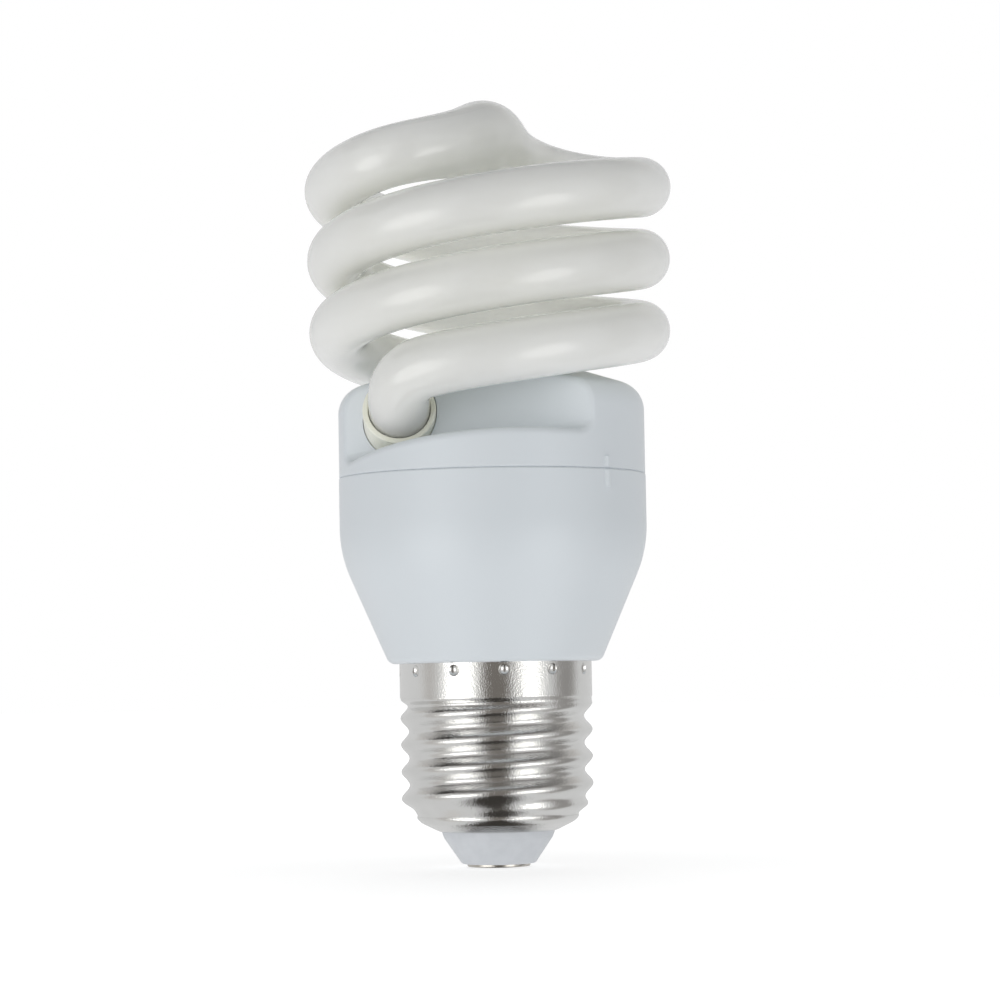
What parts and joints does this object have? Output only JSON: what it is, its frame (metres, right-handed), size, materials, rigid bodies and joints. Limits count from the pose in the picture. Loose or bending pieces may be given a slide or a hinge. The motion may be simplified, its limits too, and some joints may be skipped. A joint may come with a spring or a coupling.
{
  "type": "spiral energy saving lamp",
  "caption": "Compact fluorescent lamp with a double spiral opal glass tube, white ballast casing and rolled screw cap.",
  "frame": {"origin": "centre of the centre contact's lower face", "axes": "+Z along the lamp's axis from the cap to the spiral; -Y is the front, where one leg of the tube enters its pocket left of the middle"},
  "size_m": [0.0504, 0.05, 0.1049],
  "materials": {
    "opal_glass": "glossy opal white, phosphor lined",
    "cream_plastic": "satin cream",
    "casing": "semi-gloss cool white",
    "nickel_shell": "bright rolled nickel",
    "insulator": "pale satin",
    "contact_metal": "tinned",
    "board": "bare laminate",
    "tinned_wire": "tinned",
    "cable_sheath": "satin",
    "capacitor_sleeve": "glossy shrink sleeve",
    "ferrite": "matt sintered",
    "bobbin_plastic": "satin",
    "enamelled_wire": "enamelled copper",
    "black_epoxy": "moulded epoxy",
    "film_dip": "dipped lacquer",
    "disc_dip": "dipped ceramic",
    "resistor_body": "lacquered",
    "diode_glass": "glass bead"
  },
  "bodies": {
    "root": {"blocking_capacitor": "film_dip", "bulk_capacitor": "capacitor_sleeve", "cap_insulator": "insulator", "centre_contact": "contact_metal", "choke_bobbin": "bobbin_plastic", "choke_core_front": "ferrite", "choke_core_rear": "ferrite", "choke_winding": "enamelled_wire", "circuit_board": "board", "contact_lead": "cable_sheath", "diac": "diode_glass", "filament_lead_1": "tinned_wire", "filament_lead_2": "tinned_wire", "filament_lead_3": "tinned_wire", "filament_lead_4": "tinned_wire", "filter_core": "ferrite", "filter_winding": "enamelled_wire", "fusible_resistor": "resistor_body", "glass_tube": "opal_glass", "lower_housing": "casing", "rectifier_diode_1": "black_epoxy", "rectifier_diode_2": "black_epoxy", "rectifier_diode_3": "black_epoxy", "rectifier_diode_4": "black_epoxy", "resistor_1": "resistor_body", "resistor_2": "resistor_body", "resistor_3": "resistor_body", "resistor_4": "resistor_body", "resonant_capacitor": "film_dip", "screw_shell": "nickel_shell", "shell_lead": "tinned_wire", "snubber_capacitor": "disc_dip", "toroid_core": "ferrite", "toroid_windings": "enamelled_wire", "transistor_high": "black_epoxy", "transistor_low": "black_epoxy", "tube_collar_front": "cream_plastic", "tube_collar_rear": "cream_plastic", "upper_cover": "casing", "wrap_pin_1": "tinned_wire", "wrap_pin_2": "tinned_wire", "wrap_pin_3": "tinned_wire", "wrap_pin_4": "tinned_wire"}
  },
  "joints": []
}
